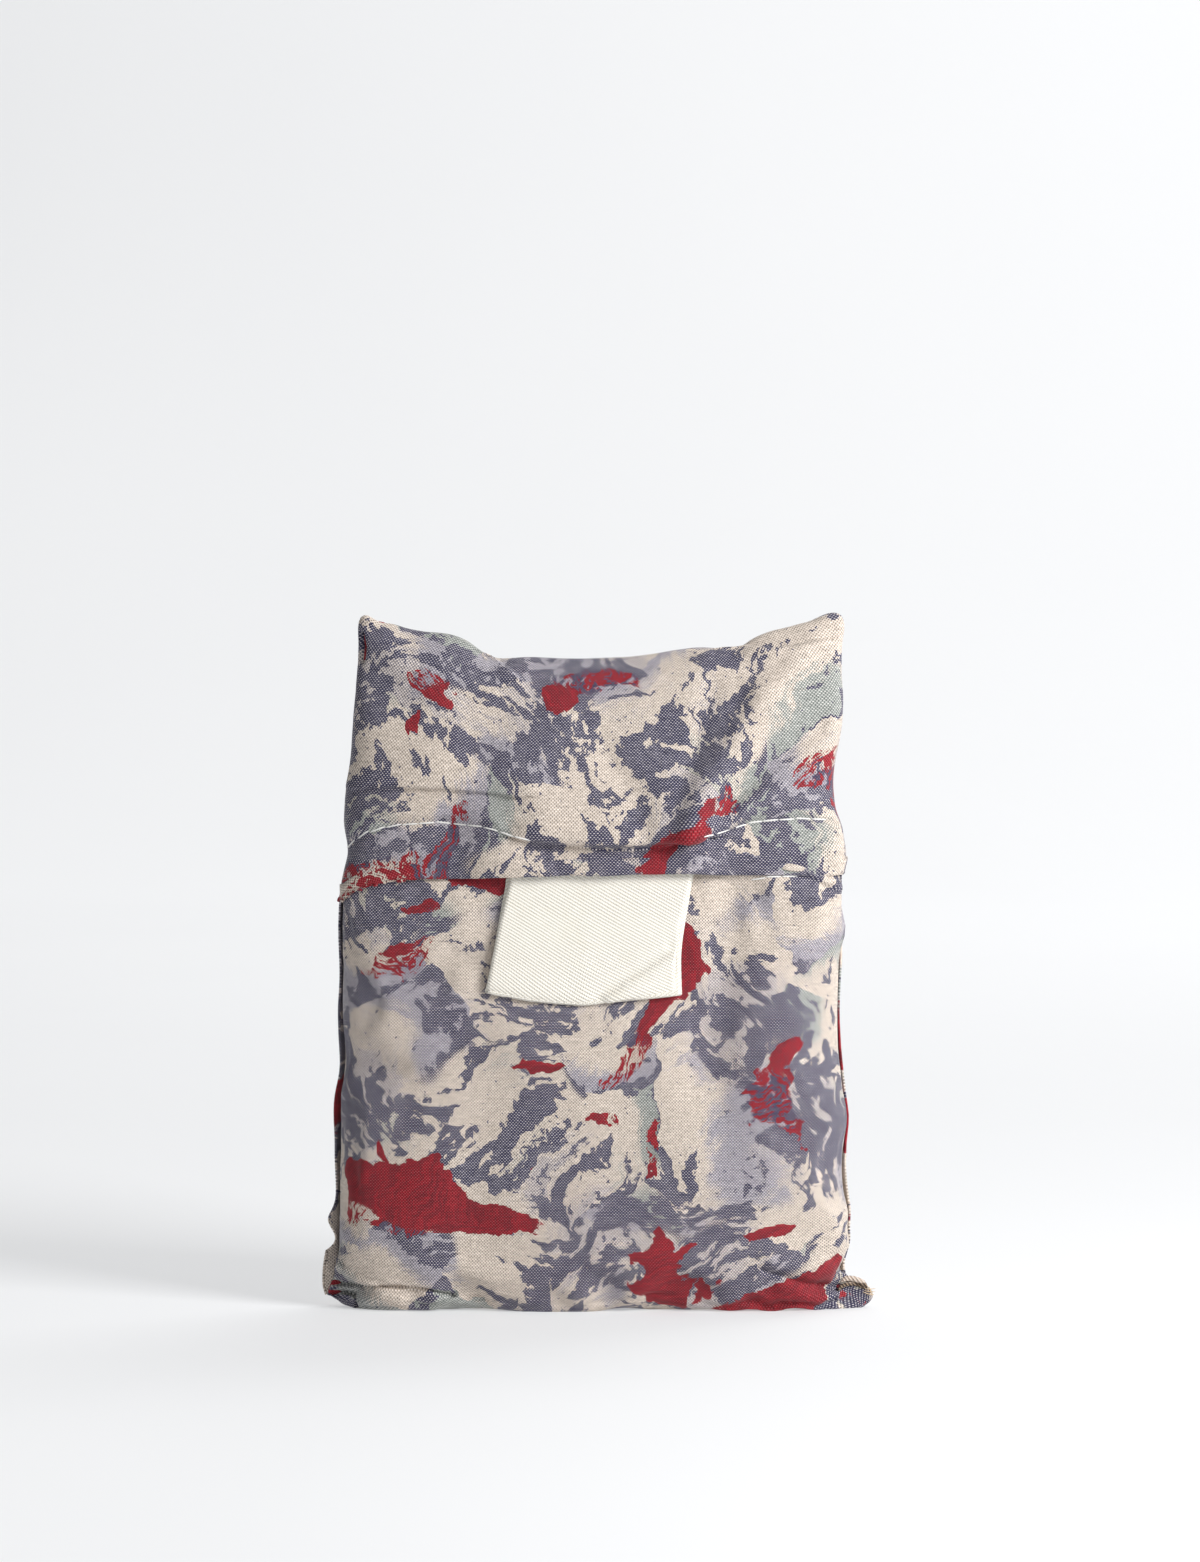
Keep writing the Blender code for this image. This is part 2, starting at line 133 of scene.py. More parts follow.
LABEL_FOLDS = (
    Fold(((1.8, 80.6), (11, 86.8), (20.7, 93.4)), 1.8, 0.9, -0.35),
    Fold(((5, 80.2), (13, 85.2), (21.5, 90.6)), 2, 4.5, 0.8),
    Fold(((19.6, 94), (22.4, 92.6)), 0.9, 0.9, -0.3),
    Fold(((-22, 97), (-2, 95), (20, 98)), 6, 6, 0.35),
)

# Places where an edge is drawn a little further: how wide the place is, and how far it moves to
# the right and up.
Pull = namedtuple("Pull", "x z reach right up", defaults=[0.0])
FLAP_PULLS = (
    Pull(-53.6, 177, 3.6, 0, -1.7), Pull(-57.6, 177.6, 1.6, 0, 0.2), Pull(-42, 173, 6, 0, 0.8),
    Pull(-19, 165.5, 7, 0, 1.2), Pull(38, 171, 2.6, 0, -0.9), Pull(56.5, 177.5, 3.4, 0, -1),
    Pull(63, 174, 5, 0.9, -0.2), Pull(62, 117.5, 6, 1.5), Pull(62, 124, 3, 0.8),
    Pull(61, 148, 9, 0.9), Pull(61, 158, 4, 0.8), Pull(61.5, 166, 5, 0.8), Pull(-63, 118, 5, 0.8),
    Pull(63, 16.5, 3.6, 1.5), Pull(62.5, 24, 5, 1.6), Pull(62.5, 48, 6, 1.2),
)
POCKET_PULLS = (
    Pull(-64.5, 3.6, 3, -2.6), Pull(64.5, 0.8, 3, 3.8, -1.3), Pull(68.6, 2.4, 2.6, 2.2, -0.3),
    Pull(71, 4.6, 2, 0.5, -0.5), Pull(64.5, 9.4, 1.8, -1.4), Pull(63, 16.5, 3.6, 1.7),
    Pull(62.5, 24, 5, 1.6), Pull(62.5, 48, 6, 1.2), Pull(62, 97, 5, 1.7),
)
FINE_REACH = 2.2  # how near a fold's line the mesh is cut finer

# The rolled corner: each lip's line, how far it stands proud, its half depth and half height.
Lip = namedtuple("Lip", "path proud deep tall", defaults=[0.3, 0.14, 0.14])
CORNER_LIPS = (
    Lip(((63.9, 6.6), (65.4, 7.5), (67.4, 7.4), (69.4, 6.6), (70.9, 5.0)), 0.2, 1.0, 0.75),
    Lip(((63.2, 4.4), (64.2, 5.6), (66.2, 6.2), (68.4, 6.0), (70.4, 4.8)), 0.5, 0.5, 0.5),
)
CORNER_THREADS = (
    Lip(((69.6, 4.9), (71.2, 4.6), (73.0, 4.8))),
    Lip(((69.8, 4.4), (71.4, 4.0), (72.9, 4.0))),
    Lip(((69.6, 4.0), (71.2, 3.4), (72.6, 3.3))),
    Lip(((69.9, 5.2), (71.3, 5.3), (72.2, 2.5))),
)

# The flap's hem: its edges are nearly level, above a height and in front of a depth.
HEM_SLOPE, HEM_LOW, HEM_BACK = 0.6, 98, 2
# The label: the front strand ends at a depth and is pressed back; the back one shows at the
# right, more so at its foot; the foot is lifted.
STRAND_END, STRAND_BLEND, STRAND_PRESS = -13.2, 1.2, 1.7
STRAND_PEEK, STRAND_SLANT = 0.8, 0.9
LABEL_TOP, LABEL_LENGTH, LABEL_LIFT = 112.0, 33.0, 2.1

STITCH_LENGTH = 4.1
STITCH_GAP = 0.05
STITCH_DIP = 0.22  # how far a stitch's ends go down into the cloth
STITCH_THIN = 0.35  # how much thinner its ends are
STITCH_CUTS = (-0.86, -0.6, 0.0, 0.6, 0.86)  # where it can bend, as shares of its half length
STITCH_AHEAD = 2.0  # how far ahead it looks for its direction
STITCH_JUMP = 3.4  # none is made where the cloth jumps by more than this
STITCH_FRONT = -3.0  # the stitches stay in front of this
STITCH_PROUD = 0.05

# The pocket's filling: its steps, how far the cloth may move, the seams' bounds, which are held,
# and the cloth behind the label, held too: its half width, and from where up.
SWELL_STEPS, SWELL_MOST = 20, 0.9
SEAM_DEPTH, SEAM_LOW, SEAM_HIGH = 0.6, 2.0, 108.0
UNDER_LABEL = Spot(27.0, 76.0)

CALM = Spot(34.0, 24.0)  # half the width and height of the calm place in a cloth
FRONT_LOOPS, LEVEL_LOOPS = 40, 12  # how much of an island must face front, or be level
FULL_TURN = 6.283

# The studio, in metres.
BOARD_WIDE, BOARD_DEEP, BOARD_FORWARD, BOARD_TALL = 16.0, 9.6, 3.2, 2.5
SWEEP_STEPS = 16
SWEEP_STRIDE = 0.9 / 10.2  # the backdrop's curve has a radius of 0.9
CREASE = 0.05  # a short step before and after the curve
EYE_AWAY, EYE_HEIGHT = 1.25, 0.190
EYE_AIM = Vector((0.0011, 0, 0.1352))
SEEN_HEIGHT = 0.3991  # what the view takes in, bottom to top, at the distance it is aimed at
VIEW_SHAPE = 1200 / 1562
SENSOR = 36.0
AIR_COLOUR, AIR_STRENGTH = (0.975, 0.985, 1.0, 1.0), 0.22
Lamp = namedtuple("Lamp", "name place aim size energy")
LAMPS = (
    Lamp("Key", (0.62, -0.46, 0.46), (0, 0, 0.09), 0.34, 8.6),
    Lamp("Overhead", (0.2, 0.2, 1.7), (0.1, 0.1, 0.0), 2.2, 5.0),
    Lamp("Backdrop", (0.95, 1.3, 1.6), (0.2, 2.3, 0.35), 1.7, 29.0),
)

# ------------------------ sizes and colours to change


def length_property(name, description, default):
    return FloatProperty(
        name=name, description=description, default=default * MM, subtype="DISTANCE", unit="LENGTH"
    )


class BagSizes(bpy.types.PropertyGroup):
    """Sizes of the cloth, the weave and the thread."""

    cloth: length_property("Cloth", "Thickness of the printed cloth", 0.5)
    tape: length_property("Tape", "Thickness of the label's tape", 0.4)
    thread: length_property("Thread", "Thickness of the stitching", 0.48)
    weave: length_property("Weave", "Distance from one thread of the crepe to the next", 0.78)
    rib: length_property("Rib", "Distance from one rib of the tape to the next", 0.8)


def colour_property(name, description, default):
    return FloatVectorProperty(
        name=name, description=description, default=default, subtype="COLOR", min=0.0, max=1.0
    )


class BagColours(bpy.types.PropertyGroup):
    """Colours of the print, the tape and the thread."""

    ground: colour_property("Ground", "Unprinted cloth", (0.60, 0.51, 0.43))
    slate: colour_property("Slate", "Dark blotches", (0.042, 0.040, 0.088))
    sage: colour_property("Sage", "Grey-green washes", (0.27, 0.29, 0.27))
    lilac: colour_property("Lilac", "Grey-lilac washes", (0.30, 0.28, 0.325))
    crimson: colour_property("Crimson", "Red blots", (0.30, 0.008, 0.018))
    tape: colour_property("Tape", "The label", (0.92, 0.885, 0.81))
    thread: colour_property("Thread", "The stitching", (0.88, 0.87, 0.84))
    seam: colour_property("Seam", "Edges inside the seam", (0.36, 0.24, 0.15))


def sizes():
    return bpy.context.scene.bag_sizes


def colours():
    return bpy.context.scene.bag_colours


# ------------------------ materials


class Field:
    """What a socket gives over a surface, so that it can be written into sums."""

    def __init__(self, paint, socket):
        self.paint, self.socket = paint, socket

    def __add__(self, other):
        return self.paint.number("ADD", self, other)

    def __sub__(self, other):
        return self.paint.number("SUBTRACT", self, other)

    def __rsub__(self, other):
        return self.paint.number("SUBTRACT", other, self)

    def __mul__(self, other):
        return self.paint.number("MULTIPLY", self, other)

    def __truediv__(self, other):
        return self.paint.number("DIVIDE", self, other)

    __radd__, __rmul__ = __add__, __mul__


class Paint:
    """A new material and the nodes in it."""

    def __init__(self, name):
        self.material = bpy.data.materials.new(name)
        self.material.use_nodes = True
        self.tree = self.material.node_tree
        self.shader = self.tree.nodes["Principled BSDF"]

    def connect(self, socket, value):
        """Gives a socket a link, a number or a colour."""
        if isinstance(value, Field):
            self.tree.links.new(value.socket, socket)
        elif hasattr(value, "__len__") and len(value) == 3 and socket.type == "RGBA":
            socket.default_value = (*value, 1.0)
        else:
            socket.default_value = value

    def node(self, kind, settings, inputs, output=0):
        """A node with its settings and its sockets' values, as one of its outputs."""
        node = self.tree.nodes.new(kind)
        for name, value in settings.items():
            setattr(node, name, value)
        for name, value in inputs.items():
            self.connect(node.inputs[name], value)
        return Field(self, node.outputs[output])

    def finish(self, **values):
        """Sets the shader's sockets, each named with underlines for its spaces."""
        for name, value in values.items():
            self.connect(self.shader.inputs[name.replace("_", " ")], value)
        return self.material

    def number(self, operation, *values):
        return self.node("ShaderNodeMath", {"operation": operation}, dict(enumerate(values)))

    def vector(self, operation, first, second):
        return self.node("ShaderNodeVectorMath", {"operation": operation}, {0: first, 1: second})

    def grown(self, vector, by):
        scaled = {"Vector": vector, "Scale": by}
        return self.node("ShaderNodeVectorMath", {"operation": "SCALE"}, scaled)

    def part(self, vector, axis):
        return self.node("ShaderNodeSeparateXYZ", {}, {"Vector": vector}, axis)

    def wave(self, value):
        return self.number("COSINE", value)

    def larger(self, first, second):
        return self.number("MAXIMUM", first, second)

    def band(self, value, low, high):
        """Rises smoothly from 0 at low to 1 at high."""
        limits = {"Value": value, "From Min": low, "From Max": high}
        return self.node("ShaderNodeMapRange", {"interpolation_type": "SMOOTHSTEP"}, limits)

    def mix(self, factor, first, second):
        """From one colour to another."""
        inputs = {0: factor, 6: first, 7: second}
        return self.node("ShaderNodeMix", {"data_type": "RGBA"}, inputs, 2)

    def cloud(self, at, scale, detail=2.0, rough=0.5, output="Fac"):
        """Soft noise, with features of about 1 / scale."""
        inputs = {"Vector": at, "Scale": scale, "Detail": detail, "Roughness": rough}
        return self.node("ShaderNodeTexNoise", {"noise_dimensions": "2D"}, inputs, output)

    def streaks(self, at, along, across, detail, rough):
        """Soft noise that is longer one way, with features of about 1 / along by 1 / across."""
        return self.cloud(self.vector("MULTIPLY", at, (along, across, 0.0)), 1.0, detail, rough)

    def stirred(self, at, by, where, scale, detail, rough):
        """A place that noise, read where it is told, pushes up to half a distance each way."""
        cloud = self.cloud(where, scale, detail, rough, "Color")
        push = self.vector("SUBTRACT", cloud, (0.5, 0.5, 0.5))
        return self.vector("ADD", at, self.grown(push, by))

    def moved(self, at, x, y):
        return self.vector("ADD", at, (x, y, 0.0))

    def on_cloth(self):
        """Where a place lies on the flat cloth, in millimetres."""
        return self.grown(self.node("ShaderNodeUVMap", {"uv_map": "Cloth"}, {}), 1 / MM)

    def in_space(self, unit=MM):
        """Where a place lies in the object's own space, counted in a unit."""
        return self.grown(self.node("ShaderNodeTexCoord", {}, {}, "Object"), 1 / unit)

    def bump(self, height, strength, depth):
        inputs = {"Height": height, "Strength": strength, "Distance": depth}
        return self.node("ShaderNodeBump", {}, inputs)


def turned_cells(paint, at, spacing, place, uneven=1.0):
    """Places within irregular cells that are each turned their own way, and each cell's dice."""
    moved = paint.moved(at, *place)
    flat = {"voronoi_dimensions": "2D"}
    cell = {"Vector": moved, "Scale": 1 / spacing, "Randomness": uneven}
    dots = paint.node("ShaderNodeTexVoronoi", flat, cell, "Position")
    dice = paint.node("ShaderNodeTexVoronoi", flat, cell, "Color")
    turned = paint.node(
        "ShaderNodeVectorRotate",
        {"rotation_type": "Z_AXIS"},
        {"Vector": paint.vector("SUBTRACT", moved, dots), "Angle": paint.part(dice, 0) * FULL_TURN},
    )
    return turned, dice


def petal_dashes(paint, at):
    """Small leaf-shaped brush marks in some of the cells: above 0 inside a mark."""
    chance = 0.14
    turned, dice = turned_cells(paint, at, 21.0, (3.0, 67.0), 0.9)
    bristles = paint.streaks(turned, 0.10, 0.85, 3.0, 0.6)
    leaf = paint.vector("DIVIDE", turned, (5.0, 2.0, 1.0))
    along, across = paint.part(leaf, 0), paint.part(leaf, 1)
    body = 1.0 - along * along - paint.number("ABSOLUTE", across) + (bristles - 0.5) * 0.5
    chosen = paint.band(paint.part(dice, 1), chance + 0.001, chance)
    return body * chosen - (1.0 - chosen)


Weave = namedtuple("Weave", "bumps hollow twist grain yarn")


def crepe_weave(paint, at, pitch):
    """Staggered floats, a little uneven, their twist, and yarns of uneven thickness."""
    woven = paint.stirred(at, 0.20, at, 0.35, 2.0, 0.6)
    turn = 2 * math.pi / pitch
    across, along = paint.part(woven, 0), paint.part(woven, 1)
    bumps = paint.wave(across * turn) * paint.wave(along * turn)
    longer = paint.wave(along * (turn * 2)) - paint.wave(across * (turn * 2))
    return Weave(
        bumps=bumps,
        hollow=bumps * 0.5 + 0.5 + longer * 0.11,
        twist=paint.wave((across + along * 0.7) * (2 * math.pi / 0.21)) * bumps,
        grain=paint.streaks(at, 0.9, 1.5, 2.0, 0.7),
        yarn=paint.streaks(at, 0.25, 1.9, 2.0, 0.6),
    )


def printed_cloth(name, shift, slate_share, red_share, eased=1.0):
    """Painterly printed crepe: slate strokes, washed petals and red blots on a beige ground."""
    paint = Paint(name)
    tones = colours()
    pitch = sizes().weave * eased / MM
    at = paint.on_cloth()
    weave = crepe_weave(paint, at, pitch)
    yarn = weave.yarn

    # the print keeps partly to whole threads, and it drifts and flutters
    threads = paint.vector("SNAP", at, (pitch / 2, pitch / 2, 1.0))
    printed = paint.vector("ADD", paint.grown(at, 0.6), paint.grown(threads, 0.4))
    printed = paint.moved(printed, *shift)
    fluttered = paint.stirred(printed, 8.0, printed, 0.11, 3.0, 0.6)
    swept = paint.stirred(fluttered, 34.0, printed, 0.022, 1.0, 0.5)

    def inked(cover):
        return paint.band(cover * 1.7 - weave.hollow, 0.0, 0.5)

    rag = paint.cloud(printed, 0.42, 3.0, 0.62) - 0.5
    broad = paint.cloud(paint.moved(printed, 31.0, 77.0), 0.024, 1.0, 0.5)
    patchy = paint.cloud(paint.moved(printed, 9.0, 51.0), 0.026, 1.0, 0.5)
    lobes = paint.cloud(swept, 0.085, 2.0, 0.5)
    brush, _ = turned_cells(paint, swept, 31.0, (57.0, 19.0))
    strokes = paint.streaks(brush, 0.050, 0.100, 3.0, 0.55)
    bristle = paint.streaks(brush, 0.10, 0.80, 3.0, 0.6)

    # petals: beige middles that darken towards one side through lilac and sage
    petal = 25.0
    local, dice = turned_cells(paint, swept, petal, (5.0, 40.0))
    spread = paint.node("ShaderNodeVectorMath", {"operation": "LENGTH"}, {0: local}, "Value")
    side = (spread * 0.9 + paint.part(local, 1) * 0.9) / petal + 0.25
    soft = paint.band(patchy, 0.44, 0.56)
    rim = paint.band(side + (bristle - 0.5) * 0.5, 0.25, 0.90) * soft
    veil = paint.band(broad + (bristle - 0.5) * 0.35, 0.44, 0.62) * 0.6
    wash_cover = paint.larger(rim * 0.9, veil * 0.8)
    wash_tone = paint.mix(paint.band(paint.part(dice, 2), 0.60, 0.66), tones.lilac, tones.sage)

    # slate strokes with windows
    level = 0.575 - 0.28 * slate_share
    body = strokes * 0.7 + lobes * 0.3 + (broad - 0.5) * 0.45 + rag * 0.15 - soft * 0.05
    edge = paint.band(side + rag * 0.5, 0.93, 1.0) * soft
    windows = paint.band(paint.streaks(brush, 0.13, 0.24, 2.0, 0.6), 0.38, 0.42)
    specks = paint.cloud(paint.moved(printed, 3.0, 8.0), 0.62, 1.0, 0.5) + (broad - 0.5) * 0.35
    slate_cover = paint.larger(paint.band(body, level, level + 0.03), edge) * windows
    slate_cover = paint.larger(slate_cover, paint.band(specks, 0.745, 0.77))
    slate_tone = paint.mix(paint.band(bristle, 0.42, 0.72) * 0.2, tones.slate, tones.lilac)

    # red petals, streaked, part of them under slate hatching
    level = 0.80 - 0.30 * red_share
    spots = paint.cloud(paint.moved(swept, 63.0, 21.0), 0.036, 0.0, 0.5)
    red = paint.band(spots + (lobes - 0.5) * 0.28 + rag * 0.05, level, level + 0.015)
    dashes = petal_dashes(paint, swept)
    red_cover = paint.larger(red, paint.band(dashes + rag * 0.4, 0.02, 0.06))
    over = paint.band(patchy, 0.50, 0.54) * paint.band(bristle + rag * 0.5, 0.46, 0.52)
    dark_red = (0.10, 0.006, 0.014)
    crimson = paint.mix(paint.band(bristle, 0.35, 0.65) * 0.5, tones.crimson, dark_red)

    colour = paint.mix(inked(wash_cover), tones.ground, wash_tone)
    colour = paint.mix(inked(slate_cover), colour, slate_tone)
    colour = paint.mix(inked(red_cover * (1.0 - over * 0.8)), colour, crimson)

    # pale floats: some the ink did not reach, some painted highlights on the thread crowns
    missed_ink_and_highlight = paint.band(weave.hollow + (yarn - 0.5) * 0.25, 0.70, 1.0) * (0.78 - red_cover * 0.68)
    colour = paint.mix(missed_ink_and_highlight, colour, (0.86, 0.80, 0.77))
    # painted shade between the yarns and along their twist, with uneven yarn tone
    shade = 1.04 - paint.band(weave.hollow, 0.45, 0.05) * 0.72
    shade = shade + (weave.grain - 0.5) * 0.8 + (yarn - 0.5) * 0.4 + weave.twist * 0.16
    relief = weave.bumps * -0.5 + weave.grain * 0.5 + weave.twist * 0.2
    return paint.finish(
        Base_Color=paint.grown(colour, shade),
        Roughness=0.62 + yarn * 0.3,
        Normal=paint.bump(relief, 0.4, 0.00012),
        Sheen_Weight=0.15,
        Sheen_Roughness=0.45,
        Specular_IOR_Level=0.30,
    )


def tape_twill(name):
    """Cream cotton tape with a slanting rib."""
    paint = Paint(name)
    rib = sizes().rib / MM
    at = paint.on_cloth()
    across, upward = paint.part(at, 0), paint.part(at, 1)
    ribs = paint.wave((across * 0.52 + upward * 0.85) * (2 * math.pi / rib))
    picks = paint.wave((across * 0.9 - upward * 0.4) * (2 * math.pi / (rib * 0.62)))
    weave = ribs * 0.6 + ribs * picks * 0.4
    soil = paint.cloud(at, 0.09, 4.0, 0.6)
    yarn = paint.streaks(at, 0.3, 1.9, 2.0, 0.6)
    # darker tan in the grooves between the ribs: painted shade
    colour = paint.mix(paint.band(weave, 0.1, -0.8) * 0.9, colours().tape, (0.67, 0.61, 0.48))
    colour = paint.mix(paint.band(soil, 0.5, 0.75) * 0.14, colour, (0.74, 0.66, 0.50))
    colour = paint.mix(paint.band(yarn, 0.5, 0.8) * 0.3, colour, (0.97, 0.95, 0.88))
    return paint.finish(
        Base_Color=colour,
        Roughness=0.72 + yarn * 0.18,
        Normal=paint.bump(weave + yarn * 0.5, 0.8, 0.00014),
        Sheen_Weight=0.12,
        Specular_IOR_Level=0.3,
    )


def twisted_thread(name, colour, dark):
    """Cotton thread: fine slanting twist, with painted shade in the twist's grooves and a patchy
    tone from its fluff.
    """
    paint = Paint(name)
    at = paint.in_space()
    twist = paint.wave((paint.part(at, 0) + paint.part(at, 2) * 1.6) * (2 * math.pi / 0.45))
    fluff = paint.cloud(at, 1.6, 3.0, 0.6)
    # painted shade in the twist's grooves, and uneven tone in patches of the fluff
    twist_shade_and_fluff_tone = paint.band(twist, 0.3, -1.0) * 0.3 + paint.band(fluff, 0.5, 0.2) * 0.2
    return paint.finish(
        Base_Color=paint.mix(twist_shade_and_fluff_tone, colour, dark),
        Roughness=0.65 + fluff * 0.2,
        Normal=paint.bump(twist, 0.4, 0.00005),
        Specular_IOR_Level=0.35,
    )


def ribbed_edge(name):
    """A raw woven edge: pale ribs lying across brown shade, near black low down as a painted shadow
    under the lip.
    """
    paint = Paint(name)
    at = paint.in_space()
    ribs = paint.wave((paint.part(at, 0) + paint.part(at, 2) * 0.8) * (2 * math.pi / 0.95))
    # where the painted shadow under the rolled lip lies: below about 6.5 mm
    low = paint.band(paint.part(at, 2), 6.7, 6.2)
    yarn = paint.cloud(at, 1.8, 3.0, 0.6)
    colour = paint.mix(paint.band(ribs, 0.2, -0.8) * 0.6, (0.66, 0.57, 0.50), colours().seam)
    # painted shadow: near black there, with its ribs a lighter brown
    colour = paint.mix(low * 0.9, colour, (0.045, 0.028, 0.022))
    colour = paint.mix(paint.band(ribs, 0.3, 0.8) * low * 0.9, colour, (0.42, 0.30, 0.20))
    return paint.finish(
        Base_Color=colour,
        Roughness=0.7 + yarn * 0.2,
        Normal=paint.bump(ribs + yarn, 0.7, 0.0002),
        Specular_IOR_Level=0.3,
    )


def studio_white(name):
    """Matt painted board, faintly uneven, with a glow: painted shade makes it weaker near, painted
    light stronger far left.
    """
    paint = Paint(name)
    place = paint.in_space(1.0)
    x, y, z = (paint.part(place, axis) for axis in range(3))
    # painted shade: a dimmer glow on the near floor, in front of the bag and to its right
    near = paint.band(y, 0.03, -0.08) * paint.band(x, -0.15, -0.05)
    # painted light: a stronger glow on the backdrop's lower left
    left = paint.band(x, 0.1, -0.5) * paint.band(y, 1.2, 1.8) * paint.band(z, 0.55, 0.2)
    glow = paint.mix(near, (0.98, 0.99, 1.0), (0.91, 0.92, 0.93))
    tone = paint.cloud(place, 3.0, 3.0, 0.5)
    return paint.finish(
        Base_Color=paint.mix(tone, (0.49, 0.493, 0.50), (0.51, 0.513, 0.518)),
        Emission_Color=paint.mix(left, glow, (1.06, 1.07, 1.08)),
        Emission_Strength=0.393,
        Roughness=0.9,
        Specular_IOR_Level=0.1,
    )


# ------------------------ meshes


def only(*pieces):
    """Makes pieces the ones that the next operators act on, the first of them active."""
    for other in bpy.context.selected_objects:
        other.select_set(False)
    for piece in pieces:
        piece.select_set(True)
    if pieces:
        bpy.context.view_layer.objects.active = pieces[0]


@contextmanager
def editing():
    """Edit mode, with everything selected at first."""
    bpy.ops.object.mode_set(mode="EDIT")
    bpy.ops.mesh.select_all(action="SELECT")
    yield
    bpy.ops.object.mode_set(mode="OBJECT")


@contextmanager
def opened(piece):
    """A piece's mesh, to be changed by hand."""
    mesh = bmesh.new()
    mesh.from_mesh(piece.data)
    yield mesh
    mesh.to_mesh(piece.data)
    mesh.free()


def measures(items, name, wide, kind=np.float32):
    """One measure of every vertex, loop or the like, as rows."""
    rows = np.empty(len(items) * wide, kind)
    items.foreach_get(name, rows)
    return rows.reshape(-1, wide).astype(float)


def places(piece):
    """A piece's vertices as rows of x, y and z, in metres."""
    return measures(piece.data.vertices, "co", 3)


def facing(piece):
    """The direction that each vertex faces."""
    return measures(piece.data.vertices, "normal", 3)


def put(piece, rows):
    piece.data.vertices.foreach_set("co", rows.astype(np.float32).ravel())
    piece.data.update()


def measured(rows):
    """Places in metres as x, y and z in the tables' millimetres."""
    return rows[:, 0] / MM + MIDDLE_X, rows[:, 1] / MM + MIDDLE_Y, rows[:, 2] / MM


def added(name, data):
    """A new object in the scene."""
    thing = bpy.data.objects.new(name, data)
    bpy.context.scene.collection.objects.link(thing)
    return thing


def cad_copy(node, name):
    """A copy of a solid's mesh, merged and in quads, alone and active."""
    piece = added(name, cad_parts[node].data.copy())
    piece.data.materials.clear()
    only(piece)
    with editing():
        bpy.ops.mesh.remove_doubles(threshold=0.002 * MM)
        bpy.ops.mesh.tris_convert_to_quads(face_threshold=math.pi, shape_threshold=math.pi)
    return piece


def apply_all(piece):
    only(piece)
    for modifier in list(piece.modifiers):
        bpy.ops.object.modifier_apply(modifier=modifier.name)


def subdivide(piece):
    """Smooth subdivision that passes through the piece's own corners."""
    target = places(piece)
    smooth = piece.modifiers.new("Smooth", "SUBSURF")
    smooth.levels = smooth.render_levels = 1
    smooth.uv_smooth = "PRESERVE_BOUNDARIES"
    for _ in range(3):
        shown = piece.evaluated_get(bpy.context.evaluated_depsgraph_get())
        put(piece, places(piece) + 0.9 * (target - places(shown)[: len(target)]))
    apply_all(piece)


def mark_cuts(piece, cut):
    """Marks as seams the edges whose two ends both pass a test on their place."""
    x, y, z = measured(places(piece))
    for edge in piece.data.edges:
        a, b = edge.vertices
        edge.use_seam = cut(x[a], y[a], z[a]) and cut(x[b], y[b], z[b])


def reached(start, beside):
    """A list of what can be reached from an item by way of what lies beside it."""
    found, todo = {start: True}, [start]
    while todo:
        for other in beside(todo.pop()):
            if other not in found:
                found[other] = True
                todo.append(other)
    return list(found)


def as_complex(rows):
    return rows[:, 0] + 1j * rows[:, 1]


def lay_out(piece):
    """Lays the cloth flat in a UV map that reads in metres along the cloth, upright in front."""
    maps = piece.data.uv_layers
    while maps:
        maps.remove(maps[0])
    maps.new(name="Cloth")
    only(piece)
    with editing():
        bpy.ops.uv.unwrap(method="MINIMUM_STRETCH", iterations=30, margin=0.02)
    layer = piece.data.uv_layers["Cloth"]
    flat = measures(layer.data, "uv", 2)
    corner = measures(piece.data.loops, "vertex_index", 1, np.int32)[:, 0].astype(int)
    at = places(piece)[corner]
    out = facing(piece)[corner]
    for island in islands(piece):
        # turns and scales the island to lie where its front, or else its back, is in space
        level = np.abs(out[island][:, 1]) > 0.9
        front = level & (out[island][:, 1] < 0)
        in_front = front.sum() > FRONT_LOOPS
        used = front if in_front else level
        if used.sum() < LEVEL_LOOPS:
            used = np.ones(len(island), bool)
        goal = np.stack([(1.0 if in_front else -1.0) * at[island][:, 0], at[island][:, 2]], 1)
        middle = goal[used].mean(0)
        laid = as_complex(flat[island] - flat[island][used].mean(0))
        wanted = as_complex(goal[used] - middle)
        whole = (np.abs(laid[used]) ** 2).sum()
        turn = (np.conj(laid[used]) * wanted).sum() / whole
        mirrored = (laid[used] * wanted).sum() / whole
        if abs(mirrored) > abs(turn):
            laid, turn = np.conj(laid), mirrored
        laid = laid * turn
        flat[island] = np.stack([laid.real, laid.imag], 1) + middle
    layer.data.foreach_set("uv", flat.astype(np.float32).ravel())
    piece.data.update()


def islands(piece):
    """The loops of each part of the mesh that the seams cut off from the others."""
    mesh = bmesh.new()
    mesh.from_mesh(piece.data)
    seen, found = set(), []

    def beside(face):
        return [other for edge in face.edges if not edge.seam for other in edge.link_faces]

    for start in mesh.faces:
        if start not in seen:
            island = reached(start, beside)
            seen.update(island)
            loops = [piece.data.polygons[face.index].loop_indices for face in island]
            found.append(np.concatenate(loops))
    mesh.free()
    return found


